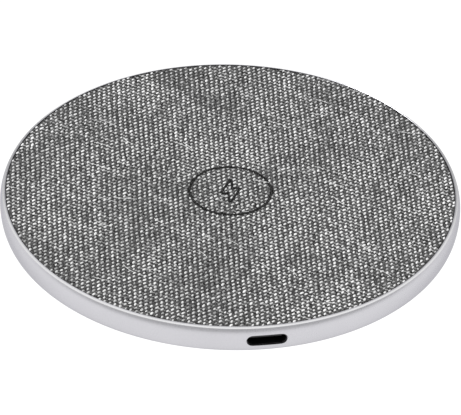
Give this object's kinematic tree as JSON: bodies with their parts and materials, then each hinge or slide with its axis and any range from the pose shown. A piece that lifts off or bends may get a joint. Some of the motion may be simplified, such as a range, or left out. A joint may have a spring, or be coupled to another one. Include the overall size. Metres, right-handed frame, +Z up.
{
  "type": "wireless charging pad",
  "caption": "Slim round wireless charging pad: fabric-topped plate in a turned metal ring with a bright-cut rim, a side charging inlet and an annular grip foot.",
  "frame": {"origin": "middle of the underside, on the resting plane of the foot", "axes": "+Z up out of the charging surface, -Y out of the charging inlet, +X to the right seen from the inlet side"},
  "size_m": [0.1, 0.0999, 0.007],
  "materials": {
    "ring_metal": "bead-blasted satin anodised, polished cut rim",
    "cover_fabric": "plain-woven heathered grey, light floats on a dark ground",
    "casing_plastic": "fine-textured black moulding",
    "adhesive_film": "thin clear-amber double-sided film",
    "screw_steel": "black-zinc steel",
    "foot_rubber": "matt silicone",
    "coil_copper": "enamelled stranded copper",
    "ferrite": "matt dark grey sintered",
    "foam": "open-cell black foam",
    "sensor_epoxy": "black epoxy dip",
    "board_laminate": "green solder mask over glass laminate",
    "connector_steel": "stamped stainless, dulled inside",
    "connector_plastic": "black moulding",
    "contact_gold": "gold flash",
    "chip_epoxy": "moulded epoxy",
    "inductor_powder": "pressed iron powder",
    "capacitor_ceramic": "fired tan ceramic",
    "tinned_ends": "tin plate"
  },
  "bodies": {
    "root": {"housing_ring": "ring_metal", "fabric_cover": "cover_fabric", "fabric_adhesive": "adhesive_film", "top_plate": "casing_plastic", "base_plate": "casing_plastic", "base_screws": "screw_steel", "foot_adhesive": "adhesive_film", "foot_ring": "foot_rubber", "coil_adhesive": "adhesive_film", "transmitter_coil": "coil_copper", "coil_leads": "coil_copper", "ferrite_adhesive": "adhesive_film", "ferrite_shield": "ferrite", "foam_pad": "foam", "thermistor": "sensor_epoxy", "thermistor_leads": "sensor_epoxy", "circuit_board": "board_laminate", "board_screws": "screw_steel", "usb_shell": "connector_steel", "usb_tongue": "connector_plastic", "usb_contacts": "contact_gold", "controller_chip": "chip_epoxy", "bridge_mosfets": "chip_epoxy", "sense_resistor": "chip_epoxy", "protection_diode": "chip_epoxy", "power_inductor": "inductor_powder", "inductor_terminals": "tinned_ends", "resonant_capacitors": "capacitor_ceramic", "resonant_capacitor_ends": "tinned_ends", "input_capacitors": "capacitor_ceramic", "input_capacitor_ends": "tinned_ends", "decoupling_capacitors": "capacitor_ceramic", "chip_resistors": "chip_epoxy"}
  },
  "joints": []
}
